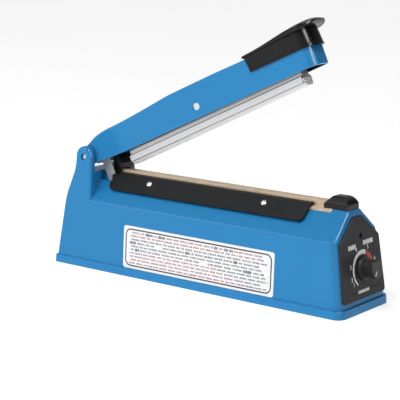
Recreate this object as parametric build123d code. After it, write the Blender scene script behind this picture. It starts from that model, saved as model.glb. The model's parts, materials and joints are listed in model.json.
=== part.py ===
from build123d import *
import math
import os

os.makedirs("parts", exist_ok=True)

# A hand impulse heat sealer with a 200 mm jaw, drawn with its arm raised. Millimetres.
# +X runs along the body towards the timer panel, +Z is up, and the origin is the centre
# of the footprint on the surface that the base stands on.

# ---------------------------------------------------------------- driving dimensions
BASE_LENGTH = 307.0
BASE_WIDTH = 73.6
RIM_TOP = 6.8
RIM_PROUD = 1.6
SHOULDER_Z = 59.7
SHOULDER_HALF = 31.5
RIDGE_Z = 80.6
RIDGE_HALF = 8.4
FRONT_X = BASE_LENGTH / 2 - RIM_PROUD
FRONT_SLOPE = 0.1273
REAR_X = -152.6
REAR_SLOPE = 0.1573
WALL = 2.5
PLATE_TOP = 2.5

PIN_X = -122.7
PIN_Z = 97.4
PIN_R = 2.5
EAR_R = 9.2
EAR_GAP_HALF = 22.6
TOWER_FRONT_X = PIN_X + EAR_R
TOWER_FLOOR_Z = 84.0
RUNNING = 0.05

OPEN_ANGLE = 24.57
ARM_HALF = 11.8
HUB_HALF = 21.6
ARM_LENGTH = 252.3
ARM_EDGE = -8.2
ARM_WALL = 2.0
ARM_CROWN = [(11, 13.6), (36.5, 17.1), (90, 20.0), (150, 20.5)]
NOSE_LEAN = 3.0
NOSE_TOP = 18.6

ROCKER_X = 125.2
ROCKER_UP = 1.2
ROCKER_R = 2.0
BAR_REST_TILT = 0.5
BAR_REAR = -93.2
BAR_FRONT = 106.1
SILICONE_FRONT = 107.5
SILICONE_DROP = 21.3
PRESS_GAP = 0.4

BED_TOP = 85.2
CLOTH = 0.25
CLOTH_TOP = BED_TOP + 0.15 + 0.2 + CLOTH

BASE_HALF = BASE_WIDTH / 2 - RIM_PROUD
SIDE_SLOPE = (BASE_HALF - SHOULDER_HALF) / SHOULDER_Z
FRONT_LEAN = math.degrees(math.atan(FRONT_SLOPE))
ROOF_RUN = SHOULDER_HALF - RIDGE_HALF
ROOF_FALL = SHOULDER_Z - RIDGE_Z
ROOF_LENGTH = math.hypot(ROOF_RUN, ROOF_FALL)
ROOF_ANGLE = math.atan2(-ROOF_FALL, ROOF_RUN)

# The arm angle at which the strip, level with the bed, stands PRESS_GAP above the cloth.
ROCKER_REACH = math.hypot(ROCKER_X, ROCKER_UP)
CLOSED_RISE = CLOTH_TOP + PRESS_GAP + SILICONE_DROP - PIN_Z
CLOSED_ANGLE = math.degrees(math.asin(CLOSED_RISE / ROCKER_REACH) - math.atan2(ROCKER_UP, ROCKER_X))
CLOSING_TRAVEL = OPEN_ANGLE - CLOSED_ANGLE
ROCKER_TRAVEL = CLOSED_ANGLE + BAR_REST_TILT

# ---------------------------------------------------------------- drawing planes
SIDE = Plane(origin=(0, 0, 0), x_dir=(1, 0, 0), z_dir=(0, -1, 0))
ACROSS = Plane(origin=(0, 0, 0), x_dir=(0, 1, 0), z_dir=(1, 0, 0))
FRONT = Plane(
    origin=(FRONT_X, 0, 0),
    x_dir=(0, 1, 0),
    z_dir=(math.cos(math.radians(FRONT_LEAN)), 0, math.sin(math.radians(FRONT_LEAN))),
)
ROOF = Plane(
    origin=(0, RIDGE_HALF, RIDGE_Z),
    x_dir=(1, 0, 0),
    z_dir=(0, -ROOF_FALL / ROOF_LENGTH, ROOF_RUN / ROOF_LENGTH),
)
ARM = Pos(PIN_X, 0, PIN_Z) * Rot(0, -OPEN_ANGLE, 0)
BAR = ARM * Pos(ROCKER_X, 0, ROCKER_UP) * Rot(0, -BAR_REST_TILT, 0)


# ---------------------------------------------------------------- helpers
def prism(plane, points, start, end, radii=0):
    """Outline drawn in plane, corners rounded to radii, extruded from start to end along its normal."""
    outline = make_face(FilletPolyline(*points, radius=radii, close=True))
    return extrude(plane.offset(start) * outline, amount=end - start)


def side_prism(points, half_width, radii=0):
    """Outline in the XZ plane, as thick as twice half_width about the middle."""
    return prism(SIDE, points, -half_width, half_width, radii)


def block(low, high):
    """Box between two corners."""
    size = [h - l for l, h in zip(low, high)]
    middle = [(h + l) / 2 for l, h in zip(low, high)]
    return Pos(*middle) * Box(*size)


def rod_y(x, z, radius, y_start, y_end):
    """Cylinder along Y."""
    length = abs(y_end - y_start)
    return Pos(x, (y_start + y_end) / 2, z) * Rot(90, 0, 0) * Cylinder(radius, length)


def rod_z(x, y, radius, z_start, z_end):
    """Cylinder along Z."""
    return Pos(x, y, (z_start + z_end) / 2) * Cylinder(radius, z_end - z_start)


def on(plane, u, v, start, end, radius):
    """Cylinder standing on a plane at (u, v), from start to end along its normal."""
    return plane * Pos(u, v, (start + end) / 2) * Cylinder(radius, end - start)


def both_sides(shape):
    """The shape and its mirror image across the middle."""
    return [shape, mirror(shape, Plane.XZ)]


def cross_slot(radius, depth):
    """Cutter for a cross recess in a screw head whose top is at Z = 0."""
    bar = Box(1.5 * radius, 0.3 * radius, 2 * depth)
    return bar + Rot(0, 0, 90) * bar


def pan_screw(head_r, head_h, shank_r, shank_l):
    """Screw standing on Z = 0: domed head above, shank below."""
    head = Pos(0, 0, head_h / 2) * Cylinder(head_r, head_h)
    head = fillet(head.edges().group_by(Axis.Z)[-1], 0.6 * head_h)
    head -= Pos(0, 0, head_h) * cross_slot(head_r, 0.55 * head_h)
    return head + Pos(0, 0, -shank_l / 2) * Cylinder(shank_r, shank_l)


def save(name, *shapes):
    """Write one node: its solids, side by side."""
    solids = [solid for shape in shapes for solid in shape.solids()]
    export_step(solids[0] if len(solids) == 1 else Compound(children=solids), f"parts/{name}.step")


# ---------------------------------------------------------------- body casing
SCREW_POSTS = [(x, y) for x in (-128, 128) for y in (-22, 22)]
CLAMP_SCREW_X = (-58.6, 63.4)
CLAMP_SCREW_DOWN = 6.3
DIAL_Y = 1.2
DIAL_UP = 34.3
LAMP_Y = 1.5
LAMP_UP = 60.6
SPRING_X = -110.6
SPRING_R = 4.5
SPRING_FOOT_Z = 79.4
SLOT_IN = 10.9
SLOT_OUT = 13.5
INLET_Z = 22.0
GROMMET_NECK = 5.0
GROMMET_BORE = 3.2
MICROSWITCH_Z = 61.0
MICROSWITCH_HOLES = (-121.0, -111.0)
# mains inlet: its axis stands square on the rear wall, pointing out
INLET = Pos(REAR_X + REAR_SLOPE * INLET_Z, 0, INLET_Z)
INLET *= Rot(0, math.degrees(math.atan(REAR_SLOPE)) - 90, 0)


def house(inset, low):
    """Section of the body across its length, moved inwards by inset."""
    side = math.hypot(1, SIDE_SLOPE) * inset
    base = BASE_HALF - SIDE_SLOPE * low - side
    ridge_z = RIDGE_Z - inset
    ridge = RIDGE_HALF - inset * (ROOF_LENGTH - ROOF_RUN) / -ROOF_FALL
    # where the offset roof line meets the offset side line
    roof_slope = ROOF_FALL / ROOF_RUN
    shoulder_z = (ridge_z - roof_slope * (ridge - BASE_HALF + side)) / (1 + roof_slope * SIDE_SLOPE)
    shoulder = BASE_HALF - side - SIDE_SLOPE * shoulder_z
    half = [(base, low), (shoulder, shoulder_z), (ridge, ridge_z)]
    return half + [(-y, z) for y, z in reversed(half)]


def front_at(z, inset=0.0):
    """X of the leaning front wall at height z."""
    return FRONT_X - FRONT_SLOPE * z - inset * math.hypot(1, FRONT_SLOPE)


def rear_outline(low, high):
    """Rear edge of the body from low to high: it leans in, sweeps forward, then rises plumb."""
    ear_x = PIN_X - EAR_R
    return [(REAR_X + REAR_SLOPE * low, low), (REAR_X + REAR_SLOPE * 61, 61), (ear_x, 88), (ear_x, high)]


def main_body():
    """Gabled body, from behind the tower's front wall to the timer panel."""
    hull = prism(ACROSS, house(0, 0), -120, FRONT_X)
    hull &= side_prism([(-121, 0), (FRONT_X, 0), (front_at(82), 82), (-121, 82)], 40)
    upright = hull.edges().filter_by(
        lambda e: e.center().X > 140 and e.center().Z < 50 and e.bounding_box().size.Z > 40
    )
    hull = fillet(upright, 7.0)
    gable = hull.edges().filter_by(
        lambda e: e.center().X > 135 and e.center().Z > 60 and e.bounding_box().size.Z > 15
    )
    shoulder = hull.edges().filter_by(
        lambda e: e.bounding_box().size.X > 200 and 55 < e.center().Z < 65
    )
    ridge_front = hull.edges().filter_by(
        lambda e: e.center().X > 135 and e.center().Z > 79 and e.bounding_box().size.Y > 10
    )
    hull = fillet(gable + shoulder + ridge_front, 2.6)
    ridge = hull.edges().filter_by(lambda e: e.bounding_box().size.X > 200 and e.center().Z > 79)
    return fillet(ridge, 1.2)


def hinge_tower():
    """Rear tower: the side walls rise into two ears that hold the hinge pin."""
    top = PIN_Z + EAR_R
    rear = rear_outline(0, top)
    front = [(TOWER_FRONT_X, top), (TOWER_FRONT_X, 0)]
    profile = side_prism(rear + front, 40, [0, 60, 40, EAR_R - 0.05, EAR_R - 0.05, 0])
    trapezoid = [(BASE_HALF, 0), (BASE_HALF - SIDE_SLOPE * 110, 110)]
    section = trapezoid + [(-y, z) for y, z in reversed(trapezoid)]
    tower = profile & prism(ACROSS, section, -160, -100)
    # the outer edges run on without a break over the ears, so one rounding follows them all
    rear_corners = tower.edges().filter_by(
        lambda e: e.center().X < -125 and e.center().Z < 60 and e.bounding_box().size.Z > 30
    )
    tower = fillet(rear_corners, 2.2)
    tower -= block((-160, -EAR_GAP_HALF, TOWER_FLOOR_Z), (-100, EAR_GAP_HALF, 120))
    return tower - block((TOWER_FRONT_X - 2, -24.2, 40), (-100, 24.2, 120))


def base_rim():
    """Band round the foot of the casing, a little proud of the walls."""
    x, y = BASE_LENGTH / 2, BASE_WIDTH / 2
    corners = [(-x, -y), (x, -y), (x, y), (-x, y)]
    band = make_face(FilletPolyline(*corners, radius=[3.2, 8, 8, 3.2], close=True))
    band = extrude(band, amount=RIM_TOP, taper=4.5)
    return fillet(band.edges().group_by(Axis.Z)[-1], 0.6)


def casing_hollow():
    """Room inside the casing, open at the bottom."""
    low = -1
    rear = [(-150.5, low), (-139.6, 61), (-131.5, 78), (-129.4, 81.5)]
    front = [(front_at(81.5, WALL), 81.5), (front_at(low, WALL), low)]
    room = prism(ACROSS, house(WALL, low), -151, FRONT_X) & side_prism(rear + front, 40)
    tower = side_prism(rear + [(TOWER_FRONT_X - 4.5, 81.5), (TOWER_FRONT_X - 4.5, low)], 25.0)
    return room + tower


def body_shell():
    shell = main_body() + hinge_tower() + base_rim()
    shell -= casing_hollow()
    for x, y in SCREW_POSTS:
        shell += rod_z(x, y, 4.0, PLATE_TOP, 24)
        shell += block((x - 0.8, min(y, 1.5 * y), 5), (x + 0.8, max(y, 1.5 * y), 22))
        shell -= rod_z(x, y, 1.55, 0, 20)
    # rib that carries the microswitch
    shell += prism(SIDE, [(-142, 56), (-103, 56), (-103, 68.5), (-138, 68.5)], 6.8, 8.8)
    for x in MICROSWITCH_HOLES:
        shell -= rod_y(x, MICROSWITCH_Z, 1.05, -9, -6)
    # hinge pin bore, counterbored outside each ear
    shell -= rod_y(PIN_X, PIN_Z, PIN_R + RUNNING, -40, 40)
    for side in (-1, 1):
        shell -= rod_y(PIN_X, PIN_Z, PIN_R + 0.6, side * 27.2, side * 40)
    # slots for the two tongues of the arm bracket, and the spring pocket
    for side in (-1, 1):
        inner, outer = sorted((side * SLOT_IN, side * SLOT_OUT))
        shell -= block((-119.2, inner, 64), (-101.8, outer, 92))
    shell -= rod_z(SPRING_X, 0, SPRING_R + 0.3, SPRING_FOOT_Z, 90)
    # raised seats for the clamp plates, each with its screw hole
    for x in CLAMP_SCREW_X:
        for seat in both_sides(on(ROOF, x, CLAMP_SCREW_DOWN, -1, PLATE_GAP, 2.7)):
            shell += seat
        for cut in both_sides(on(ROOF, x, CLAMP_SCREW_DOWN, -8, 4, 1.55)):
            shell -= cut
    shell -= on(FRONT, DIAL_Y, DIAL_UP, -20, 5, 3.6)
    shell -= on(FRONT, LAMP_Y, LAMP_UP, -20, 5, 2.6)
    return shell - INLET * Cylinder(GROMMET_NECK, 20)


def cord_grommet():
    """Rubber bush that lines the mains inlet in the rear wall."""
    flange = rod_z(0, 0, GROMMET_NECK + 2.2, 0.1, 2.3)
    flange = fillet(flange.edges().group_by(Axis.Z)[-1], 0.9)
    neck = rod_z(0, 0, GROMMET_NECK - 0.1, -4.4, 1.0)
    lip = rod_z(0, 0, GROMMET_NECK + 1.2, -4.4, -2.8)
    return INLET * (flange + neck + lip - Cylinder(GROMMET_BORE, 20))


def bottom_plate():
    half_length = FRONT_X - WALL - 1.2
    plate = extrude(RectangleRounded(2 * half_length, 63.6, 5), amount=PLATE_TOP)
    for x, y in SCREW_POSTS:
        plate -= rod_z(x, y, 1.7, 0, 6)
        plate -= rod_z(x, y, 3.3, 0, SCREW_SUNK)
    for x, y in FOOT_PLACES:
        plate -= rod_z(x, y, FOOT_R + 0.2, 0, FOOT_T)
    for index in range(9):
        for y in (-14, 14):
            plate -= Pos(-80 + 8 * index, y, 1) * Box(2.2, 16, 6)
    for x, y in TRANSFORMER_FEET:
        plate -= rod_z(x, y, 1.6, 0, 6)
    for x, y in BOARD_POSTS:
        plate -= rod_z(x, y, 1.3, 0, 6)
    return plate


def bottom_screw(x, y):
    """Screw through the bottom plate, its head sunk flush."""
    return Pos(x, y, SCREW_SUNK) * Rot(180, 0, 0) * pan_screw(2.8, 1.0, 1.5, 16)


FOOT_PLACES = [(x, y) for x in (-112, 112) for y in (-21, 21)]
FOOT_R = 7.5
FOOT_T = 0.8
SCREW_SUNK = 1.1


def rubber_foot(x, y):
    """Pad let into the bottom plate."""
    return rod_z(x, y, FOOT_R, 0, FOOT_T)


# ---------------------------------------------------------------- hinge
def hinge_pin():
    pin = rod_y(PIN_X, PIN_Z, PIN_R, -27.6, 27.6)
    return fillet(pin.edges().filter_by(GeomType.CIRCLE), 0.8)


def hinge_washer(side):
    washer = rod_y(PIN_X, PIN_Z, 6.0, side * (HUB_HALF + 0.3), side * EAR_GAP_HALF)
    return washer - rod_y(PIN_X, PIN_Z, PIN_R + RUNNING, side * 20, side * 24)


SPRING_TOP_Z = 91.6
SPRING_WIRE = 0.6


def return_spring():
    """Compression coil with closed ends between the body and the arm bracket."""
    coil_r = SPRING_R - SPRING_WIRE
    height = SPRING_TOP_Z - SPRING_FOOT_Z - 2 * SPRING_WIRE
    path = Pos(SPRING_X, 0, SPRING_FOOT_Z + SPRING_WIRE) * Helix(height / 5.5, height, coil_r)
    section = Plane(origin=path @ 0, z_dir=path % 0) * Circle(SPRING_WIRE)
    return sweep(section, path=path, is_frenet=True)


# ---------------------------------------------------------------- sealing bed
BED_REAR = -98.0
BED_FRONT = 118.0
BED_HALF = 4.0
CLOTH_REAR = -99.5
CLOTH_FRONT = 125.6
CLOTH_SKIRT = 3.5
PLATE_T = 1.4
PLATE_GAP = 1.4
CLAMP_REAR = -101.5
CLAMP_FRONT = 105.8
CLAMP_DOWN = 17.5
FLANGE_IN = 4.9


def bed_bar():
    return block((BED_REAR, -BED_HALF, RIDGE_Z), (BED_FRONT, BED_HALF, BED_TOP))


def insulating_tape():
    return block((BED_REAR, -3.4, BED_TOP), (BED_FRONT, 3.4, BED_TOP + 0.15))


def heating_element():
    """Flat resistance ribbon, 2 mm wide, with a broad tab at each end."""
    low = BED_TOP + 0.15
    ribbon = block((-104, -1.0, low), (134, 1.0, low + 0.2))
    for x in TERMINAL_X:
        ribbon += block((x - 2.3, -2.3, low), (x + 2.3, 2.3, low + 0.2))
    for x in TERMINAL_X:
        ribbon -= rod_z(x, 0, 1.3, 80, 90)
    return ribbon


TERMINAL_X = (-101.9, 132.5)


def element_terminal(x):
    post = block((x - 2.4, -3, RIDGE_Z), (x + 2.4, 3, BED_TOP + 0.15))
    return post - rod_z(x, 0, 1.3, 80, 90)


def terminal_screw(x):
    return Pos(x, 0, BED_TOP + 0.35) * pan_screw(2.2, 1.5, 1.25, 1.6)


def ptfe_sheet():
    """Woven cloth over the element: flat on the bed, down its sides and over the ridge edges."""
    slope_y = ROOF_RUN / ROOF_LENGTH
    slope_z = ROOF_FALL / ROOF_LENGTH
    top = CLOTH_TOP - CLOTH
    inner = [
        (BED_HALF + 0.1, top),
        (BED_HALF + 0.35, RIDGE_Z),
        (RIDGE_HALF, RIDGE_Z),
        (RIDGE_HALF + CLOTH_SKIRT * slope_y, RIDGE_Z + CLOTH_SKIRT * slope_z),
    ]
    lift_y = -slope_z * CLOTH
    lift_z = slope_y * CLOTH
    outer = [
        (inner[3][0] + lift_y, inner[3][1] + lift_z),
        (RIDGE_HALF + 0.1, RIDGE_Z + CLOTH),
        (BED_HALF + 0.35 + CLOTH, RIDGE_Z + CLOTH),
        (BED_HALF + 0.1 + CLOTH, top + 0.6 * CLOTH),
        (BED_HALF, CLOTH_TOP),
    ]
    half = inner + outer
    section = half + [(-y, z) for y, z in reversed(half)]
    return prism(ACROSS, section, CLOTH_REAR, CLOTH_FRONT)


def roof_point(down, lift):
    """Section point measured down the roof from the ridge edge, and off the roof."""
    y = RIDGE_HALF + (down * ROOF_RUN - lift * ROOF_FALL) / ROOF_LENGTH
    z = RIDGE_Z + (down * ROOF_FALL + lift * ROOF_RUN) / ROOF_LENGTH
    return (y, z)


def bend_point(lift):
    """Section point of the clamp's bend, lift above both the ridge and the roof."""
    return (RIDGE_HALF + lift * math.tan(ROOF_ANGLE / 2), RIDGE_Z + lift)


def clamp_plate():
    """Bent strip on the far side that grips the cloth: a flange on the ridge and a broad face."""
    low, high = PLATE_GAP, PLATE_GAP + PLATE_T
    face = [(CLAMP_REAR, 0.3), (CLAMP_FRONT, 0.3), (CLAMP_FRONT, CLAMP_DOWN), (CLAMP_REAR, CLAMP_DOWN)]
    face = ROOF * Pos(0, 0, low) * extrude(
        make_face(FilletPolyline(*face, radius=[0, 0, 5, 8], close=True)), amount=PLATE_T
    )
    flange = [(FLANGE_IN, RIDGE_Z + low), bend_point(low), roof_point(0.3, low)]
    flange += [roof_point(0.3, high), bend_point(high), (FLANGE_IN, RIDGE_Z + high)]
    plate = face + prism(ACROSS, flange, BED_REAR + 0.4, CLAMP_FRONT)
    for x in CLAMP_SCREW_X:
        plate -= on(ROOF, x, CLAMP_SCREW_DOWN, -2, 4, 1.7)
    return plate


def clamp_screw(x):
    return ROOF * Pos(x, CLAMP_SCREW_DOWN, PLATE_GAP + PLATE_T) * pan_screw(2.6, 1.5, 1.5, 8.0)


def front_cap():
    """Hollow glossy cover over the front end of the element, its long edges bevelled."""
    rear, front, top, half = 116.8, 139.5, 91.2, 8.2
    side = [(rear, 70), (front, 70), (front, top), (124.0, top), (rear + 0.3, 84.5)]
    cap = side_prism(side, half, [0, 0, 7.5, 4, 1.5])
    section = [(half, 70), (half, 85.5), (4.6, top), (-4.6, top), (-half, 85.5), (-half, 70)]
    cap &= prism(ACROSS, section, rear - 1, front + 1, [0, 2.5, 3, 3, 2.5, 0])
    plan = Pos(front - 40, 0, 70) * RectangleRounded(80, 2 * half, 7.5)
    cap &= extrude(plan, amount=30)
    cap -= block((rear - 1, -half - 1, 60), (front + 1, half + 1, RIDGE_Z))
    ceiling = BED_TOP + 2.4
    cap -= block((rear + 1.6, 1.9 - half, 70), (front - 5.5, half - 1.9, ceiling))
    cap -= block((front - 6, -4.4, 70), (front - 2.7, 4.4, ceiling))
    cap -= block((rear - 1, -half - 1, 70), (CLOTH_FRONT + 0.5, half + 1, RIDGE_Z + 0.3))
    return cap - block((rear - 1, -4.7, 70), (CLOTH_FRONT + 0.5, 4.7, CLOTH_TOP + 0.15))


def rear_cap():
    """Hollow cover over the rear end of the element; it stands inside the arm, its front overhanging."""
    rear, front, top, half = -105.7, -97.0, 98.4, 7.9
    side = [(rear, RIDGE_Z), (front, RIDGE_Z), (front, 92), (-100.5, top), (rear, top)]
    cap = side_prism(side, half, [0, 0, 3, 2, 1.5])
    cap -= block((rear + 1.3, 1.4 - half, 70), (front - 1.3, half - 1.4, 90))
    return cap - block((CLOTH_REAR - 0.4, -half - 1, 70), (front + 1, half + 1, CLOTH_TOP + 1))


# ---------------------------------------------------------------- arm
def on_hub(angle, radius):
    """Point on the hub's rim: 0 degrees is straight back, 90 is straight up."""
    turn = math.radians(angle)
    return (-radius * math.cos(turn), radius * math.sin(turn))


def arm_side(inset):
    """Side outline about the hinge axis: round hub, low rising top, lower edge level or left open."""
    hub = EAR_R + 0.1 - inset
    front = ARM_LENGTH - inset
    with BuildSketch(SIDE) as outline:
        with BuildLine():
            if inset:
                lower = ARM_EDGE - 20
                rear = Line((-hub, lower), (-hub, 0))
            else:
                lower = ARM_EDGE
                start = (-math.sqrt(hub**2 - ARM_EDGE**2), ARM_EDGE)
                rear = ThreePointArc(start, on_hub(-35, hub), on_hub(0, hub))
            over = ThreePointArc(rear @ 1, on_hub(45, hub), on_hub(85, hub))
            crown = [(x, z - inset) for x, z in ARM_CROWN]
            rise = Spline(over @ 1, *crown, tangents=[over % 1, (1, 0)])
            flat = Line(rise @ 1, (front - NOSE_LEAN, NOSE_TOP - inset))
            nose = Line(flat @ 1, (front, lower))
            Line(nose @ 1, rear @ 0)
        make_face()
    return outline.sketch


def arm_plan(inset):
    """Plan outline of the arm: wide hub between the ears, necking down to the channel."""
    hub = HUB_HALF - inset
    half = ARM_HALF - inset
    front = ARM_LENGTH - inset
    neck = [(-20, -hub), (8, -hub), (29, -half), (front, -half)]
    points = neck + [(x, -y) for x, y in reversed(neck)]
    radii = [0, 16, 30, 9 - inset, 9 - inset, 30, 16, 0]
    return points, radii


def arm_solid(inset):
    plan_points, plan_radii = arm_plan(inset)
    body = extrude(arm_side(inset), amount=30, both=True)
    return body & prism(Plane.XY, plan_points, -40, 40, plan_radii)


def arm_shell():
    shell = arm_solid(0)
    top_edges = shell.edges().filter_by(
        lambda e: e.center().Z > 9.4 and (abs(e.center().Y) > 10 or e.center().X > 240)
    )
    shell = fillet(top_edges, 2.0)
    shell -= arm_solid(ARM_WALL) & block((-6.5, -30, -60), (260, 30, 40))
    # hinge bosses, each bored for the pin
    for y_in, y_out in ((-HUB_HALF + 1, -15), (15, HUB_HALF - 1)):
        shell += rod_y(0, 0, 6.0, y_in, y_out)
    shell -= rod_y(0, 0, PIN_R + RUNNING, -30, 30)
    # bosses that centre the pressing bar on its rocker pin
    for y_in, y_out in ((-ARM_HALF + 1, -2.4), (2.4, ARM_HALF - 1)):
        shell += rod_y(ROCKER_X, ROCKER_UP, 4.6, y_in, y_out)
    shell -= rod_y(ROCKER_X, ROCKER_UP, ROCKER_R + RUNNING, -30, 30)
    for side in (-1, 1):
        shell -= rod_y(ROCKER_X, ROCKER_UP, 3.4, side * (ARM_HALF - 1.2), side * 30)
    for x, y in BRACKET_POSTS:
        shell += rod_z(x, y, 3.0, BRACKET_TOP, 10.5)
        shell -= rod_z(x, y, 1.55, BRACKET_TOP - 1, 4)
    for x in HANDLE_SCREW_X:
        shell -= rod_z(x, 0, 1.7, 10, 30)
    return ARM * shell


BRACKET_POSTS = [(9.0, -8.2), (9.0, 8.2)]
BRACKET_TOP = -7.0
BRACKET_T = 1.2
LEG_IN = 11.6
LEG_END = -27.8
HANDLE_SCREW_X = (204.0, 238.0)


def arm_bracket():
    """Steel bracket in the arm: a plate over the spring and two legs whose tongues reach the switch."""
    low = BRACKET_TOP - BRACKET_T
    outer = LEG_IN + BRACKET_T
    plate = block((-1.8, -outer, low), (14.3, outer, BRACKET_TOP))
    for x, y in BRACKET_POSTS:
        plate -= rod_z(x, y, 1.7, -12, 0)
    leg = [(4.9, low + 0.5), (4.9, LEG_END), (9.3, LEG_END), (9.8, -22.6), (14.1, -22.6), (14.1, low + 0.5)]
    leg = prism(SIDE, leg, LEG_IN, outer, [0, 0.8, 0.8, 0.8, 0.8, 0])
    bracket = plate + leg + mirror(leg, Plane.XZ)
    return ARM * bracket


def bracket_screw(x, y):
    return ARM * Pos(x, y, BRACKET_TOP - BRACKET_T) * Rot(180, 0, 0) * pan_screw(2.4, 1.4, 1.5, 9.0)


def rocker_pin():
    pin = rod_y(ROCKER_X, ROCKER_UP, ROCKER_R, -ARM_HALF + 1.2, ARM_HALF - 0.3)
    head = rod_y(ROCKER_X, ROCKER_UP, 3.1, -ARM_HALF + 0.2, -ARM_HALF + 1.2)
    slot_floor = -ARM_HALF + 0.6
    head -= block((ROCKER_X - 4, -ARM_HALF, ROCKER_UP - 0.3), (ROCKER_X + 4, slot_floor, ROCKER_UP + 0.3))
    return ARM * (pin + head)


def rocker_nut():
    nut = extrude(RegularPolygon(3.1, 6), amount=1.0) - Cylinder(ROCKER_R, 5)
    return ARM * Pos(ROCKER_X, ARM_HALF - 0.2, ROCKER_UP) * Rot(90, 0, 0) * nut


HANDLE_REAR = 190.9
HANDLE_FRONT = 254.1
HANDLE_HALF = 13.0
HANDLE_EDGE = 7.8
REST_UNDER = [(186.4, 20.2), (224, 21.5), (250, 21.9), (260.8, 24.0)]
REST_OVER = [(260.8, 27.6), (254, 29.0), (244, 28.5), (222, 26.3), (186.2, 23.0)]


def handle():
    """Moulded grip over the end of the arm: a skirt, and a thick dished rest with a flared rim."""
    skirt = [(HANDLE_REAR, HANDLE_EDGE), (HANDLE_FRONT + 0.8, HANDLE_EDGE - 0.7)]
    skirt = side_prism(skirt + [(HANDLE_FRONT, 22), (HANDLE_REAR - 2.1, 21)], HANDLE_HALF)
    skirt_plan = Pos(HANDLE_FRONT - 99, 0, 0) * RectangleRounded(200, 2 * HANDLE_HALF, 10)
    skirt &= extrude(skirt_plan, amount=40)
    # the rest: under edge and upper edge both sweep up, then meet in a rounded lip
    with BuildSketch(SIDE) as rest_side:
        with BuildLine():
            under = Spline(*REST_UNDER)
            nose = ThreePointArc(under @ 1, (263.2, 26.1), REST_OVER[0])
            upper = Spline(*REST_OVER)
            Line(upper @ 1, under @ 0)
        make_face()
    rest = extrude(rest_side.sketch, amount=20, both=True)
    rest_plan = [(186.0, -14.4), (222, -14.9), (238, -16.4), (263.2, -16.4)]
    rest_plan = rest_plan + [(x, -y) for x, y in reversed(rest_plan)]
    rest &= prism(Plane.XY, rest_plan, 0, 40, [2.5, 60, 60, 15.5, 15.5, 60, 60, 2.5])
    dish = Pos(228, 0, 86) * Sphere(60)
    dish = dish & block((196, -12, 0), (250, 12, 60))
    grip = skirt + rest - dish
    clearance = Pos(0, 0, 0.15) * extrude(arm_side(0), amount=ARM_HALF + 0.15, both=True)
    clearance &= block((150, -20, -20), (ARM_LENGTH - 0.4, 20, 40))
    clearance += block((150, -ARM_HALF - 0.15, -20), (ARM_LENGTH + 0.2, ARM_HALF + 0.15, 14))
    grip -= clearance
    for x in HANDLE_SCREW_X:
        grip -= rod_z(x, 0, 1.55, 10, 22.9)
    return ARM * grip


def handle_screw(x):
    screw = Rot(180, 0, 0) * pan_screw(2.8, 1.6, 1.5, 5.0)
    return ARM * Pos(x, 0, arm_ceiling(x)) * screw


def arm_ceiling(x):
    """Lowest point of the arm's inner top surface beneath a screw head at x."""
    crown_x, crown_z = ARM_CROWN[-1]
    share = (x + 3 - crown_x) / (ARM_LENGTH - NOSE_LEAN - crown_x)
    return crown_z + share * (NOSE_TOP - crown_z) - ARM_WALL - 0.02


# ---------------------------------------------------------------- pressing bar
def pressing_bar():
    """Extruded aluminium bar: a web that hangs on the rocker pin and a channel for the strip."""
    web = [(1.6, 5.0), (1.6, -8.6), (4.6, -8.6), (4.6, -12.9)]
    channel = [(7.0, -12.9), (7.0, -18.7), (3.3, -18.7), (3.3, -17.6), (5.7, -17.6), (5.7, -14.6)]
    section = web + channel + [(-y, z) for y, z in reversed(web + channel)]
    radii = [1, 0, 0.5, 0.5, 0.8, 0.6, 0, 0, 0, 0]
    bar = prism(ACROSS, section, BAR_REAR, BAR_FRONT, radii + radii[::-1])
    return BAR * (bar - rod_y(0, 0, ROCKER_R + RUNNING, -10, 10))


def silicone_strip():
    """Rubber profile: a flange held in the channel, a waist, and a foot that meets the film."""
    half = [(5.5, -14.8), (5.5, -17.5), (3.1, -17.5), (3.1, -18.8), (5.4, -18.8), (4.4, -SILICONE_DROP)]
    section = half + [(-y, z) for y, z in reversed(half)]
    radii = [0.5, 0.5, 0, 0, 0.4, 0.8]
    return BAR * prism(ACROSS, section, BAR_REAR, SILICONE_FRONT, radii + radii[::-1])


# ---------------------------------------------------------------- timer panel and knob
PANEL_T = 1.8
DIAL_R = 15.2
DIAL_MARKS = [232, 199, 163, 116, 67, 14]
KNOB_BASE_R = 9.5
KNOB_GRIP_R = 7.5
KNOB_H = 13.5


def control_panel():
    """Gable-shaped plate on the front wall."""
    half = [(30.5, 10.8), (28.0, 57.8), (6.4, 76.4)]
    points = half + [(-y, v) for y, v in reversed(half)]
    panel = prism(FRONT, points, 0.0, PANEL_T, [3, 2, 2, 2, 2, 3])
    rim = panel.faces().sort_by(SortBy.AREA)[-2:].sort_by(Axis.X)[-1].edges()
    panel = fillet(rim, 0.5)
    panel -= FRONT * Pos(-0.5, 17.5, PANEL_T) * Box(47, 0.7, 0.6)
    panel -= on(FRONT, DIAL_Y, DIAL_UP, -1, 5, 3.6)
    return panel - on(FRONT, LAMP_Y, LAMP_UP, -1, 5, 2.3)


def dial_segment(start, end, inner_start, inner_end):
    """Printed band of the dial between two angles; its inner edge moves in as it goes."""
    def at(angle, radius):
        turn = math.radians(angle)
        return (DIAL_Y + radius * math.cos(turn), DIAL_UP + radius * math.sin(turn))

    middle = (start + end) / 2
    outer = ThreePointArc(at(start, DIAL_R), at(middle, DIAL_R), at(end, DIAL_R))
    inner_middle = at(middle, (inner_start + inner_end) / 2)
    inner = ThreePointArc(at(end, inner_end), inner_middle, at(start, inner_start))
    edges = [outer, Line(outer @ 1, inner @ 0), inner, Line(inner @ 1, outer @ 0)]
    return extrude(FRONT.offset(PANEL_T) * make_face(edges), amount=0.12)


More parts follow.
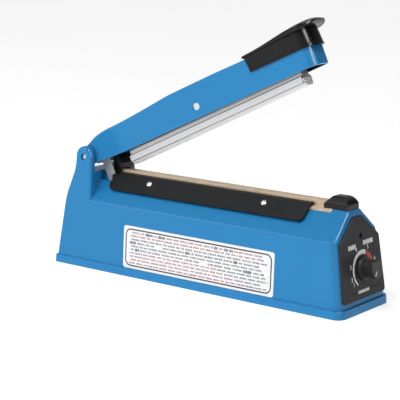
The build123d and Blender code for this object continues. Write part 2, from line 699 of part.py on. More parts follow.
def dial_bands():
    """The dial's segments, each a little wider than the one before, with a gap between them."""
    bands = []
    for index, (start, end) in enumerate(zip(DIAL_MARKS, DIAL_MARKS[1:])):
        inner_start = 14.4 - 0.72 * index
        bands.append(dial_segment(start - 1.2, end + 1.2, inner_start, inner_start - 0.65))
    return bands


def indicator_lamp():
    lens = on(FRONT, LAMP_Y, LAMP_UP, -6, -0.4, 2.2)
    lens = fillet(lens.edges().filter_by(GeomType.CIRCLE).sort_by(Axis.X)[-1:], 1.6)
    return lens + on(FRONT, LAMP_Y, LAMP_UP, -7, -5, 2.9 - 0.4)


def timer_pot():
    """Potentiometer: a can behind the front wall and a threaded neck through it."""
    can = on(FRONT, DIAL_Y, DIAL_UP, -13.5, -WALL - 0.2, 8.0)
    neck = on(FRONT, DIAL_Y, DIAL_UP, -WALL - 0.3, PANEL_T + 3.2, 3.5)
    lugs = [FRONT * Pos(DIAL_Y + dx, DIAL_UP - 10.5, -8) * Box(1.6, 7, 0.8) for dx in (-4, 0, 4)]
    return can + neck + lugs - on(FRONT, DIAL_Y, DIAL_UP, -12, 8, 3.0 + RUNNING)


def pot_nut():
    nut = extrude(RegularPolygon(5.6, 6), amount=2.0) - Cylinder(3.55, 10)
    return FRONT * Pos(DIAL_Y, DIAL_UP, PANEL_T) * nut


def pot_shaft():
    return on(FRONT, DIAL_Y, DIAL_UP, -11.8, PANEL_T + 10.5, 3.0)


def knob():
    """Fluted knob with a flared skirt, hollow over the nut."""
    low = 0.6
    skirt = extrude(Circle(KNOB_BASE_R), amount=3.0, taper=8)
    grip = Pos(0, 0, (KNOB_H - low) / 2) * Cylinder(KNOB_GRIP_R, KNOB_H - low)
    grip = fillet(grip.edges().group_by(Axis.Z)[-1], 0.8)
    for index in range(20):
        turn = 18 * index
        grip -= Rot(0, 0, turn) * Pos(KNOB_GRIP_R + 0.35, 0, KNOB_H / 2 + 3.2) * Cylinder(0.75, KNOB_H)
    body = skirt + grip
    body -= Pos(0, 0, 1.5) * Cylinder(6.3, 4.2)
    body -= Pos(0, 0, 3) * Cylinder(3.0, 14)
    slot = Rot(0, 0, DIAL_MARKS[0]) * Pos(4.4, 0, KNOB_H - low) * Box(4.4, 0.9, 0.8)
    body -= slot
    return FRONT * Pos(DIAL_Y, DIAL_UP, PANEL_T + low) * body


def knob_pointer():
    """White line let into the knob's face, at the lowest mark of the dial."""
    line = Rot(0, 0, DIAL_MARKS[0]) * Pos(4.4, 0, KNOB_H - 0.6 - 0.2) * Box(4.4, 0.9, 0.4)
    return FRONT * Pos(DIAL_Y, DIAL_UP, PANEL_T + 0.6) * line


# ---------------------------------------------------------------- parts inside the casing
CORE_X = -8.0
STRAP_T = 1.3
TRANSFORMER_FEET = [(CORE_X - 35.5, 0), (CORE_X + 35.5, 0)]
BOARD_POSTS = [(x, y) for x in (66, 118) for y in (-18, 18)]
BOARD_Z = 11.0


def transformer_core():
    """Stack of E and I laminations round the coil."""
    core = block((CORE_X - 28.5, -14, PLATE_TOP + 0.2), (CORE_X + 28.5, 14, 51.2))
    for side in (-1, 1):
        left = CORE_X + side * 14.25
        core -= block((left - 4.75, -20, 13.2), (left + 4.75, 20, 41.7))
    return core


def transformer_coil():
    outer = block((CORE_X - 18.6, -23, 13.6), (CORE_X + 18.6, 23, 41.3))
    outer = fillet(outer.edges().filter_by(Axis.Z), 4)
    return outer - block((CORE_X - 9.8, -14.3, 10), (CORE_X + 9.8, 14.3, 45))


def transformer_strap():
    """Steel strap over the core, its feet screwed to the bottom plate."""
    strap = block((CORE_X - 30, -9, PLATE_TOP), (CORE_X + 30, 9, 52.6))
    strap += block((CORE_X - 40.5, -9, PLATE_TOP), (CORE_X + 40.5, 9, PLATE_TOP + STRAP_T))
    strap -= block((CORE_X - 28.7, -10, 0), (CORE_X + 28.7, 10, 51.3))
    for x, y in TRANSFORMER_FEET:
        strap -= rod_z(x, y, 1.6, 0, 6)
    return strap


def strap_screw(x, y):
    return Pos(x, y, PLATE_TOP + STRAP_T) * pan_screw(2.8, 1.6, 1.5, 3.2)


def circuit_board():
    board = block((60, -23, BOARD_Z), (124, 23, BOARD_Z + 1.6))
    for x, y in BOARD_POSTS:
        board -= rod_z(x, y, 1.6, 0, 20)
    return board


def board_post(x, y):
    post = rod_z(x, y, 3.0, PLATE_TOP, BOARD_Z) + rod_z(x, y, 1.25, PLATE_TOP - 1.6, PLATE_TOP)
    return post + rod_z(x, y, 1.5, BOARD_Z, BOARD_Z + 2.6)


def relay():
    can = block((72, -8, BOARD_Z + 1.6), (91, 8, BOARD_Z + 17))
    return fillet(can.edges().filter_by(lambda e: e.center().Z > BOARD_Z + 2), 0.6)


def board_capacitor(x, y):
    can = rod_z(x, y, 4.0, BOARD_Z + 1.6, BOARD_Z + 13.6)
    return fillet(can.edges().group_by(Axis.Z)[-1], 0.6)


def fuse_holder():
    clips = [block((x, 14, BOARD_Z + 1.6), (x + 3, 20.5, BOARD_Z + 8)) for x in (76, 95)]
    tube = Pos(87, 17.2, BOARD_Z + 5) * Rot(0, 90, 0) * Cylinder(2.6, 22.4)
    return [clip - tube for clip in clips]


def fuse():
    return Pos(87, 17.2, BOARD_Z + 5) * Rot(0, 90, 0) * Cylinder(2.6, 20)


SWITCH_PIVOT_X = -125.0
SWITCH_PIVOT_Z = 68.3
SWITCH_TOP = 67.4
LEVER_ANGLE = 16.6


def microswitch():
    """Snap-action switch on the rib; its button stands under the lever."""
    case = block((-127.5, -15.2, 57.4), (-106.5, -8.8, SWITCH_TOP))
    for x in MICROSWITCH_HOLES:
        case -= rod_y(x, MICROSWITCH_Z, 1.1, -20, 0)
    for x in (-124, -117, -110):
        case += block((x - 1.2, -12.4, 53.4), (x + 1.2, -11.6, 57.4))
    left, right = SWITCH_PIVOT_X - 1.1, SWITCH_PIVOT_X + 1.1
    case -= block((left - 0.6, -14.4, SWITCH_TOP - 0.6), (right + 0.6, -9.8, SWITCH_TOP + 1))
    case += rod_z(-120.5, -12, 0.9, SWITCH_TOP - 0.5, SWITCH_TOP + 0.5)
    # ears and post that the lever turns on
    for y in (-15, -9.8):
        case += block((left, y, SWITCH_TOP - 1), (right, y + 0.6, SWITCH_PIVOT_Z + 1))
    return case + rod_y(SWITCH_PIVOT_X, SWITCH_PIVOT_Z, 0.5, -14.8, -9.4)


def switch_screw(x):
    shank = rod_y(x, MICROSWITCH_Z, 1.0, -15.2, -6.0)
    return shank + rod_y(x, MICROSWITCH_Z, 1.9, -16.4, -15.2)


def switch_lever():
    """Sprung strip that the arm bracket's tongue pushes down."""
    strip = block((0.3, -1.2, -0.5), (15.6, 1.2, -0.1))
    knuckle = rod_y(0, 0, 1.0, -2.0, 2.0)
    lever = strip + knuckle - rod_y(0, 0, 0.5 + RUNNING, -3, 3)
    return Pos(SWITCH_PIVOT_X, -12.1, SWITCH_PIVOT_Z) * Rot(0, -LEVER_ANGLE, 0) * lever


# ---------------------------------------------------------------- rating label
LABEL_REAR, LABEL_FRONT = -72.7, 87.3
LABEL_LOW, LABEL_HIGH = 7.3, 44.2


def label_plate():
    """Thin sticker on the near side wall, following its lean."""
    tilt = math.degrees(math.atan(SIDE_SLOPE))
    width = LABEL_FRONT - LABEL_REAR
    height = (LABEL_HIGH - LABEL_LOW) * math.hypot(1, SIDE_SLOPE)
    middle_z = (LABEL_LOW + LABEL_HIGH) / 2
    sticker = extrude(RectangleRounded(width, height, 2.5), amount=0.2)
    place = Pos((LABEL_FRONT + LABEL_REAR) / 2, -(BASE_HALF - SIDE_SLOPE * middle_z), middle_z)
    return place * Rot(90 - tilt, 0, 0) * sticker


# ---------------------------------------------------------------- write every node
save("body_shell", body_shell())
save("bottom_plate", bottom_plate())
save("bottom_screws", *[bottom_screw(x, y) for x, y in SCREW_POSTS])
save("rubber_feet", *[rubber_foot(x, y) for x, y in FOOT_PLACES])
save("cord_grommet", cord_grommet())
save("hinge_pin", hinge_pin())
save("hinge_washers", hinge_washer(-1), hinge_washer(1))
save("return_spring", return_spring())
save("bed_bar", bed_bar())
save("insulating_tape", insulating_tape())
save("heating_element", heating_element())
save("element_terminals", *[element_terminal(x) for x in TERMINAL_X])
save("terminal_screws", *[terminal_screw(x) for x in TERMINAL_X])
save("ptfe_sheet", ptfe_sheet())
save("clamp_far", clamp_plate())
save("clamp_near", mirror(clamp_plate(), Plane.XZ))
save("clamp_screws", *[screw for x in CLAMP_SCREW_X for screw in both_sides(clamp_screw(x))])
save("front_cap", front_cap())
save("rear_cap", rear_cap())
save("label_plate", label_plate())
save("control_panel", control_panel())
save("dial_scale", *dial_bands()[:-1])
save("dial_red_zone", dial_bands()[-1])
save("indicator_lamp", indicator_lamp())
save("timer_pot", timer_pot())
save("pot_nut", pot_nut())
save("pot_shaft", pot_shaft())
save("knob", knob())
save("knob_pointer", knob_pointer())
save("arm_shell", arm_shell())
save("arm_bracket", arm_bracket())
save("bracket_screws", *[bracket_screw(x, y) for x, y in BRACKET_POSTS])
save("rocker_pin", rocker_pin())
save("rocker_nut", rocker_nut())
save("handle", handle())
save("handle_screws", *[handle_screw(x) for x in HANDLE_SCREW_X])
save("pressing_bar", pressing_bar())
save("silicone_strip", silicone_strip())
save("transformer_core", transformer_core())
save("transformer_coil", transformer_coil())
save("transformer_strap", transformer_strap())
save("strap_screws", *[strap_screw(x, y) for x, y in TRANSFORMER_FEET])
save("circuit_board", circuit_board())
save("board_posts", *[board_post(x, y) for x, y in BOARD_POSTS])
save("relay", relay())
save("board_capacitors", *[board_capacitor(x, y) for x, y in ((102, -8), (102, 6), (112, 0))])
save("fuse_clips", *fuse_holder())
save("fuse", fuse())
save("microswitch", microswitch())
save("switch_screws", *[switch_screw(x) for x in MICROSWITCH_HOLES])
save("switch_lever", switch_lever())

print(f"closed angle {CLOSED_ANGLE:.4f}, travel {CLOSING_TRAVEL:.4f}, rocker travel {ROCKER_TRAVEL:.4f}")
print(f"front lean {FRONT_LEAN:.3f}, cloth top {CLOTH_TOP:.3f}")
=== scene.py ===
import json
import math
import random

import bmesh
import bpy
from mathutils import Matrix, Vector


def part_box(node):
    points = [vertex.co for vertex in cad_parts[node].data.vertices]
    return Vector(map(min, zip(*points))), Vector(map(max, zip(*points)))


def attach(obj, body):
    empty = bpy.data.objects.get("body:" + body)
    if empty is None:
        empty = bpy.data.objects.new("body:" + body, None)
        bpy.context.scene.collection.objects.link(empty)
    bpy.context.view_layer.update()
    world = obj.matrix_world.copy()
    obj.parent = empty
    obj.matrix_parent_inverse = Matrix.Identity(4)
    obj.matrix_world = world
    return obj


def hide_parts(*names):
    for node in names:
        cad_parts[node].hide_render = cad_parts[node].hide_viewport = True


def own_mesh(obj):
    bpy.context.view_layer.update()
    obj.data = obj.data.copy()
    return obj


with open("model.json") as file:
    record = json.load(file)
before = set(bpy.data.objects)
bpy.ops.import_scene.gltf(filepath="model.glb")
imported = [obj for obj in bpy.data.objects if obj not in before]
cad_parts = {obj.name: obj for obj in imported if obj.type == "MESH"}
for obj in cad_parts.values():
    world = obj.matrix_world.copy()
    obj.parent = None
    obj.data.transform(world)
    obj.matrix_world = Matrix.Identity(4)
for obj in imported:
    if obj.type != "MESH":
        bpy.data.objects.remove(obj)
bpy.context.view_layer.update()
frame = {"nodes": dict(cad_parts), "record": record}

NODES = frame["nodes"]
MM = 0.001

# places shared with the CAD, in millimetres
PIN_X, PIN_Z = -122.7, 97.4
OPEN_ANGLE = 24.57
FRONT_X = 151.9
FRONT_SLOPE = 0.1273
BASE_HALF = 35.2
SHOULDER_HALF, SHOULDER_Z = 31.5, 59.7
SIDE_SLOPE = (BASE_HALF - SHOULDER_HALF) / SHOULDER_Z
BED_TOP, CLOTH_TOP = 85.2, 85.8
CLOTH_REAR, CLOTH_FRONT = -99.5, 125.6
DIAL_Y, DIAL_UP = 1.2, 34.3
PANEL_T = 1.8

ARM = Matrix.Translation((PIN_X, 0, PIN_Z)) @ Matrix.Rotation(math.radians(-OPEN_ANGLE), 4, "Y")
LEAN = math.atan(FRONT_SLOPE)
PANEL = Matrix.Translation((FRONT_X, 0, 0)) @ Matrix((
    (0, -math.sin(LEAN), math.cos(LEAN), 0),
    (1, 0, 0, 0),
    (0, math.cos(LEAN), math.sin(LEAN), 0),
    (0, 0, 0, 1),
))


# ---------------------------------------------------------------- camera
def add_camera():
    azimuth, elevation, distance = math.radians(38.05), math.radians(11.84), 1.2575
    back = Vector((
        math.sin(azimuth) * math.cos(elevation),
        -math.cos(azimuth) * math.cos(elevation),
        math.sin(elevation),
    ))
    camera = bpy.data.objects.new("camera", bpy.data.cameras.new("camera"))
    bpy.context.scene.collection.objects.link(camera)
    camera.location = Vector((-0.0003, 0, 0.077)) + back * distance
    camera.rotation_mode = "QUATERNION"
    camera.rotation_quaternion = (-back).to_track_quat("-Z", "Y")
    camera.data.lens = 133.8
    camera.data.sensor_width = 36.0
    camera.data.shift_x = -0.034
    camera.data.shift_y = -0.020
    camera.data.clip_start, camera.data.clip_end = 0.05, 60.0
    bpy.context.scene.camera = camera


# ---------------------------------------------------------------- materials
class Shader:
    """A node material: a Principled surface and helpers that hang textures on it."""

    def __init__(self, name, color, roughness, metallic=0.0, **fixed):
        self.material = bpy.data.materials.new(name)
        self.material.use_nodes = True
        self.tree = self.material.node_tree
        self.surface = next(n for n in self.tree.nodes if n.type == "BSDF_PRINCIPLED")
        self.surface.inputs["Base Color"].default_value = (*color, 1)
        self.surface.inputs["Roughness"].default_value = roughness
        self.surface.inputs["Metallic"].default_value = metallic
        for key, value in fixed.items():
            self.surface.inputs[key.replace("_", " ")].default_value = value
        self.material.diffuse_color = (*color, 1)
        self.place = self.add("ShaderNodeTexCoord").outputs["Object"]

    def add(self, kind, **settings):
        node = self.tree.nodes.new(kind)
        for key, value in settings.items():
            setattr(node, key, value)
        return node

    def link(self, source, target):
        self.tree.links.new(source, target)

    def feed(self, value, socket):
        """Give a socket a number, a colour or another node's output."""
        if isinstance(value, (int, float)):
            socket.default_value = value
        elif isinstance(value, tuple):
            socket.default_value = (*value, 1)
        else:
            self.link(value, socket)

    def mapped(self, vector=None, **settings):
        """Object coordinates, or another vector, through a Mapping node."""
        node = self.add("ShaderNodeMapping")
        for key, value in settings.items():
            node.inputs[key].default_value = value
        self.link(vector or self.place, node.inputs["Vector"])
        return node.outputs["Vector"]

    def calc(self, operation, *values):
        node = self.add("ShaderNodeMath", operation=operation)
        for value, socket in zip(values, node.inputs):
            self.feed(value, socket)
        return node.outputs[0]

    def mix(self, factor, first, second):
        """Colour mix: first where the factor is 0, second where it is 1."""
        node = self.add("ShaderNodeMix", data_type="RGBA")
        self.link(factor, node.inputs["Factor"])
        colours = [socket for socket in node.inputs if socket.type == "RGBA"]
        self.feed(first, colours[0])
        self.feed(second, colours[1])
        return next(socket for socket in node.outputs if socket.type == "RGBA")

    def noise(self, scale, detail=3.0, vector=None, rough=0.5):
        node = self.add("ShaderNodeTexNoise")
        node.inputs["Scale"].default_value = scale
        node.inputs["Detail"].default_value = detail
        node.inputs["Roughness"].default_value = rough
        self.link(vector or self.place, node.inputs["Vector"])
        return node.outputs["Fac"]

    def ramp(self, factor, stops):
        """Colour ramp: stops are (position, rgb)."""
        node = self.add("ShaderNodeValToRGB")
        while len(node.color_ramp.elements) < len(stops):
            node.color_ramp.elements.new(0.5)
        for element, (position, rgb) in zip(node.color_ramp.elements, stops):
            element.position = position
            element.color = (*rgb, 1)
        self.link(factor, node.inputs["Fac"])
        return node.outputs["Color"]

    def span(self, factor, low, high, source=(0, 1)):
        node = self.add("ShaderNodeMapRange")
        node.inputs["From Min"].default_value, node.inputs["From Max"].default_value = source
        node.inputs["To Min"].default_value, node.inputs["To Max"].default_value = low, high
        self.link(factor, node.inputs["Value"])
        return node.outputs["Result"]

    def color(self, output):
        self.link(output, self.surface.inputs["Base Color"])
        return self

    def roughness(self, output):
        self.link(output, self.surface.inputs["Roughness"])
        return self

    def bump(self, *heights):
        """Stack of (height output, distance in metres)."""
        normal = None
        for height, distance in heights:
            node = self.add("ShaderNodeBump")
            node.inputs["Strength"].default_value = 1.0
            node.inputs["Distance"].default_value = distance
            self.link(height, node.inputs["Height"])
            if normal:
                self.link(normal, node.inputs["Normal"])
            normal = node.outputs["Normal"]
        self.link(normal, self.surface.inputs["Normal"])
        return self


def tinted(rgb, gain):
    return tuple(min(1.0, c * gain) for c in rgb)


def sprayed(name, rgb):
    """Shader of satin sprayed enamel: faint orange peel, slight clouding."""
    s = Shader(name, rgb, 0.34, Specular_IOR_Level=0.2, Coat_Weight=0.16, Coat_Roughness=0.1)
    cloud = s.noise(9.0, 2.0)
    s.color(s.ramp(cloud, [(0.3, tinted(rgb, 0.97)), (0.7, tinted(rgb, 1.03))]))
    s.roughness(s.span(s.noise(160.0, 3.0), 0.30, 0.38))
    return s.bump((s.noise(900.0, 2.0), 0.00001), (s.noise(140.0, 1.0), 0.00001))


def enamel(name, rgb):
    return sprayed(name, rgb).material


def arm_enamel(name, rgb):
    """The same enamel, with painted shade: the inside of the arm coloured near black where it lies in shade.
    """
    s = sprayed(name, rgb)
    in_arm = s.mapped(
        Rotation=(0, math.radians(OPEN_ANGLE), 0),
        Location=(ARM.inverted() @ Vector((0, 0, 0))) * MM,
    )
    split = s.add("ShaderNodeSeparateXYZ")
    s.link(in_arm, split.inputs[0])
    along, across, up = split.outputs

    # the surface midway through the wall: the roof's height along the arm (mm), then the nose's plan (m)
    walls = [(0, 8.3), (11, 12.6), (36.5, 16.1), (90, 19.0), (150, 19.5), (252, 17.6)]
    reach, tall = 260, 20
    arc_x, arc_y, arc_radius = 0.2433, 0.0028, 0.008
    front, lean, lower_edge = 0.2499, 0.09, -0.0081
    share = s.span(along, 0.0, 1.0, (0.0, reach * MM))
    height = s.span(s.ramp(share, [(x / reach, (z / tall,) * 3) for x, z in walls]), 0.0, tall * MM)
    ahead = s.calc("MAXIMUM", s.calc("SUBTRACT", along, arc_x), 0.0)
    aside = s.calc("MAXIMUM", s.calc("SUBTRACT", s.calc("ABSOLUTE", across), arc_y), 0.0)
    from_arc = s.calc("ADD", s.calc("POWER", ahead, 2), s.calc("POWER", aside, 2))
    limits = [
        s.calc("LESS_THAN", up, height),
        s.calc("GREATER_THAN", along, 0.0),
        s.calc("LESS_THAN", from_arc, arc_radius**2),
        s.calc("LESS_THAN", s.calc("ADD", along, s.calc("MULTIPLY", up, lean)), front),
        s.calc("GREATER_THAN", up, lower_edge),
    ]
    inside = limits[0]
    for limit in limits[1:]:
        inside = s.calc("MULTIPLY", inside, limit)
    paint = s.surface.inputs["Base Color"].links[0].from_socket
    # painted shade: near-black colour mixed over the enamel wherever the mask marks the shaded inside of the
    # arm
    return s.color(s.mix(inside, paint, (0.006, 0.006, 0.007))).material


def moulding(name, rgb, roughness, specular=0.5, grain=2600.0, depth=0.00003, metallic=0.0):
    """Moulded plastic: fine spark-eroded grain and soft clouding of its gloss."""
    s = Shader(name, rgb, roughness, metallic, Specular_IOR_Level=specular)
    cloud = s.noise(40.0, 3.0)
    s.color(s.ramp(cloud, [(0.25, tinted(rgb, 0.85)), (0.75, tinted(rgb, 1.15))]))
    s.roughness(s.span(s.noise(220.0, 4.0), roughness * 0.86, roughness * 1.16))
    return s.bump((s.noise(grain, 2.0), depth)).material


def steel(name, rgb, roughness, stretch=(60, 900, 900)):
    """Plated or rolled metal with fine drawn streaks."""
    s = Shader(name, rgb, roughness, metallic=1.0)
    streak = s.noise(1.0, 4.0, s.mapped(Scale=stretch), 0.6)
    s.color(s.ramp(streak, [(0.2, tinted(rgb, 0.86)), (0.8, tinted(rgb, 1.08))]))
    s.roughness(s.span(streak, roughness * 0.75, roughness * 1.3))
    return s.bump((streak, 0.00001)).material


def extrusion(name, rgb, roughness):
    """Satin anodised extrusion: die lines run along its length."""
    s = Shader(name, rgb, roughness, metallic=0.85)
    in_arm = s.mapped(Rotation=(0, math.radians(OPEN_ANGLE), 0))
    streak = s.noise(1.0, 3.0, s.mapped(in_arm, Scale=(3, 1700, 1700)), 0.6)
    s.color(s.ramp(streak, [(0.25, tinted(rgb, 0.93)), (0.75, tinted(rgb, 1.05))]))
    s.roughness(s.span(streak, roughness * 0.8, roughness * 1.2))
    return s.bump((streak, 0.00001)).material


def silicone(name, rgb):
    s = Shader(name, rgb, 0.42)
    cloud = s.noise(60.0, 3.0)
    s.color(s.ramp(cloud, [(0.3, tinted(rgb, 0.95)), (0.7, tinted(rgb, 1.02))]))
    s.roughness(s.span(s.noise(400.0, 3.0), 0.36, 0.5))
    return s.bump((s.noise(1500.0, 2.0), 0.00002)).material


def woven(name, warp_rgb, weft_rgb, pitch, roughness, turn=45.0):
    """Coated plain weave: two sets of threads at right angles, laid on the bias."""
    s = Shader(name, warp_rgb, roughness, Coat_Weight=0.25, Coat_Roughness=0.3)
    turned = s.mapped(Rotation=(0, 0, math.radians(turn)))
    waves = []
    for direction in ("X", "Y"):
        wave = s.add("ShaderNodeTexWave", wave_type="BANDS", bands_direction=direction)
        wave.inputs["Scale"].default_value = 0.314 / pitch
        wave.inputs["Distortion"].default_value = 0.6
        wave.inputs["Detail Scale"].default_value = 3.0
        s.link(turned, wave.inputs["Vector"])
        waves.append(wave.outputs["Fac"])
    stain = s.noise(90.0, 4.0)
    warp, weft = (
        s.ramp(stain, [(0.3, tinted(rgb, 0.86)), (0.72, tinted(rgb, 1.12))]) for rgb in (warp_rgb, weft_rgb)
    )
    s.color(s.mix(s.calc("GREATER_THAN", *waves), warp, weft))
    height = s.calc("MAXIMUM", *waves)
    return s.bump((height, 0.00008), (s.noise(700.0, 2.0), 0.00002)).material


def film(name, rgb, roughness):
    """Printed film or ink: nearly plain, with faint mottling."""
    s = Shader(name, rgb, roughness)
    s.color(s.ramp(s.noise(300.0, 2.0), [(0.3, tinted(rgb, 0.95)), (0.7, tinted(rgb, 1.03))]))
    s.roughness(s.span(s.noise(500.0, 2.0), roughness * 0.9, roughness * 1.1))
    return s.bump((s.noise(2200.0, 2.0), 0.00001)).material


def lens(name, rgb):
    s = Shader(name, rgb, 0.12, Coat_Weight=1.0, Coat_Roughness=0.05)
    s.color(s.ramp(s.noise(500.0, 2.0), [(0.3, tinted(rgb, 0.8)), (0.7, tinted(rgb, 1.2))]))
    return s.material


def laminated(name, rgb):
    """Edges of stamped laminations, seen as fine lines across Y."""
    s = Shader(name, rgb, 0.5, metallic=0.4)
    wave = s.add("ShaderNodeTexWave", wave_type="BANDS", bands_direction="Y")
    wave.inputs["Scale"].default_value = 0.314 / 0.0005
    s.link(s.place, wave.inputs["Vector"])
    s.color(s.ramp(wave.outputs["Fac"], [(0.1, tinted(rgb, 0.6)), (0.6, tinted(rgb, 1.2))]))
    return s.bump((wave.outputs["Fac"], 0.00005)).material


def glass(name):
    s = Shader(name, (0.9, 0.95, 0.95), 0.05, Transmission_Weight=0.8, Alpha=0.6)
    s.roughness(s.span(s.noise(200.0, 2.0), 0.03, 0.1))
    return s.material


def make_materials():
    """Each material's maker, then what the maker takes after the name."""
    blue = (0.014, 0.228, 0.520)
    recipes = {
        "blue_enamel": (enamel, blue),
        # blue enamel whose inside of the arm carries painted shade
        "arm_enamel": (arm_enamel, blue),
        "black_steel_plate": (moulding, (0.010, 0.011, 0.012), 0.5, 0.18, 1800.0, 0.00004),
        "zinc_steel": (steel, (0.72, 0.73, 0.74), 0.26),
        "bracket_steel": (moulding, (0.42, 0.43, 0.44), 0.45, 0.5, 2600.0, 0.00003, 0.3),
        "spring_steel": (steel, (0.55, 0.56, 0.58), 0.3),
        "foot_rubber": (moulding, (0.02, 0.02, 0.02), 0.7),
        "bed_aluminium": (extrusion, (0.66, 0.66, 0.67), 0.38),
        "glass_tape": (woven, (0.72, 0.68, 0.58), (0.62, 0.58, 0.48), 0.0006, 0.6),
        "nichrome": (steel, (0.45, 0.43, 0.41), 0.4),
        "brass": (steel, (0.80, 0.62, 0.30), 0.3),
        "ptfe_cloth": (woven, (0.56, 0.41, 0.27), (0.67, 0.53, 0.38), 0.0009, 0.4),
        "gloss_black": (moulding, (0.008, 0.008, 0.009), 0.2, 0.26, 2600.0, 0.00001),
        "label_white": (film, (0.92, 0.92, 0.93), 0.4),
        "panel_black": (moulding, (0.018, 0.015, 0.019), 0.5, 0.3, 3200.0, 0.00003),
        "dial_white": (film, (0.97, 0.97, 0.97), 0.45),
        "dial_red": (film, (0.62, 0.03, 0.03), 0.45),
        "lamp_red": (lens, (0.03, 0.004, 0.004)),
        "pot_grey": (moulding, (0.12, 0.12, 0.13), 0.5),
        "knob_black": (moulding, (0.013, 0.013, 0.014), 0.42),
        "silicone_white": (silicone, (0.88, 0.88, 0.87)),
        "core_steel": (laminated, (0.16, 0.14, 0.13)),
        "coil_tape": (film, (0.62, 0.44, 0.07), 0.35),
        "board_green": (film, (0.03, 0.20, 0.08), 0.35),
        "relay_blue": (moulding, (0.03, 0.10, 0.32), 0.35),
        "capacitor_sleeve": (moulding, (0.03, 0.03, 0.06), 0.3),
        "fuse_glass": (glass,),
        "label_ink": (film, (0.006, 0.006, 0.007), 0.5),
        "label_grey": (film, (0.05, 0.05, 0.055), 0.5),
        "label_red": (film, (0.33, 0.06, 0.07), 0.5),
    }
    return {name: make(name, *values) for name, (make, *values) in recipes.items()}


# ---------------------------------------------------------------- helpers
def new_piece(name, mesh_builder, material, body, crisp_angle):
    """bmesh in millimetres -> a smooth-shaded object in metres that rides on a body."""
    mesh = bpy.data.meshes.new(name)
    mesh_builder.to_mesh(mesh)
    mesh_builder.free()
    mesh.transform(Matrix.Scale(MM, 4))
    piece = bpy.data.objects.new(name, mesh)
    bpy.context.scene.collection.objects.link(piece)
    smooth(piece, crisp_angle)
    mesh.materials.append(material)
    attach(piece, body)
    return piece


def smooth(piece, angle):
    """Smooth shading with edges sharper than angle left crisp."""
    mesh = piece.data
    mesh.shade_smooth()
    mesh.set_sharp_from_angle(angle=math.radians(angle))


def loft(rows, cap=True):
    """bmesh through rows of points, each row closed into a loop."""
    bm = bmesh.new()
    loops = [[bm.verts.new(p) for p in row] for row in rows]
    count = len(rows[0])
    for first, second in zip(loops, loops[1:]):
        for i in range(count):
            j = (i + 1) % count
            bm.faces.new((first[i], first[j], second[j], second[i]))
    if cap:
        bm.faces.new(loops[0][::-1])
        bm.faces.new(loops[-1])
    bmesh.ops.recalc_face_normals(bm, faces=bm.faces)
    return bm


def eased(points, x):
    """Height at x on a smooth curve through points (Catmull-Rom on x)."""
    xs = [p[0] for p in points]
    x = min(max(x, xs[0]), xs[-1])
    i = max(k for k in range(len(xs) - 1) if x >= xs[k])
    x0, y0 = points[i]
    x1, y1 = points[i + 1]

    def slope(k):
        a, b = points[max(k - 1, 0)], points[min(k + 1, len(points) - 1)]
        return (b[1] - a[1]) / (b[0] - a[0])

    span = x1 - x0
    t = (x - x0) / span
    m0, m1 = slope(i) * span, slope(i + 1) * span
    return (
        (2 * t**3 - 3 * t**2 + 1) * y0 + (t**3 - 2 * t**2 + t) * m0
        + (3 * t**2 - 2 * t**3) * y1 + (t**3 - t**2) * m1
    )


# ---------------------------------------------------------------- handle
REST_REAR, REST_FRONT = 186.4, 262.6
REST_ROUND = 15.5
REST_UNDER = [
    (186.4, 20.4), (205, 20.8), (224, 21.6), (240, 21.8),
    (250, 21.8), (256, 22.6), (260, 23.8), (262.6, 25.4),
]
REST_OVER = [
    (186.4, 23.0), (205, 24.5), (222, 26.9), (235, 28.4),
    (245, 28.9), (254, 28.6), (259, 27.5), (262.6, 25.8),
]
REST_CROWN = [(186.4, 0.6), (205, 1.3), (225, 2.3), (250, 2.6), (262.6, 1.6)]
REST_HALF = [(186.4, 14.2), (205, 14.4), (225, 15.0), (245, 16.2), (262.6, 16.2)]
SKIRT_REAR, SKIRT_FRONT, SKIRT_HALF = 190.9, 254.2, 13.0
SKIRT_LOW, SKIRT_HIGH = 7.8, 21.2


def rest_half(x):
    """Half width of the rest in plan: it flares gently, and its front is a half circle."""
    half = eased(REST_HALF, x)
    ahead = x - (REST_FRONT - REST_ROUND)
    if ahead > 0:
        half = min(half, 1.0 + math.sqrt(max(REST_ROUND**2 - ahead**2, 0)))
    corner = 2.5
    behind = REST_REAR + corner - x
    if behind > 0:
        half -= corner - math.sqrt(max(corner**2 - behind**2, 0))
    return half


def rest_section(x, half):
    """Loop round the rest at x: rounded rim, a groove inside it, a crowned top, a flat underside."""
    low, high = eased(REST_UNDER, x), eased(REST_OVER, x)
    crown = min(eased(REST_CROWN, x), 0.4 * (high - low))
    rim = high - crown
    groove = 0.12 * (rim - low)
    # shares of the half width, with shares of the rim's thickness
    edge = [(1.00, 0.50), (0.995, 0.72), (0.975, 0.90), (0.935, 0.995), (0.90, 0.99)]
    under = [(0.0, 0.10), (0.5, 0.10), (0.85, 0.10), (0.885, 0.08), (0.90, 0.0), (0.935, 0.0), (0.975, 0.10)]
    right = [(share * half, low + level * (rim - low)) for share, level in under + [(0.995, 0.28)] + edge]
    crown_edge = 0.86
    for share in (crown_edge, 0.80, 0.66, 0.45, 0.22, 0.0):
        arch = 1 - (share / crown_edge) ** 2
        right.append((share * half, rim - groove + (crown + groove) * arch))
    left = [(-y, z) for y, z in reversed(right)]
    return [(x, y, z) for y, z in right + left[1:-1]]


def rest_mesh():
    behind = [REST_REAR + step for step in (0.0, 0.25, 0.8, 1.6, 2.5, 4.5, *range(8, 61, 4))]
    nose = [REST_FRONT - REST_ROUND + REST_ROUND * math.sin(math.radians(a)) for a in range(4, 90, 5)]
    return loft([rest_section(x, rest_half(x)) for x in behind + nose])


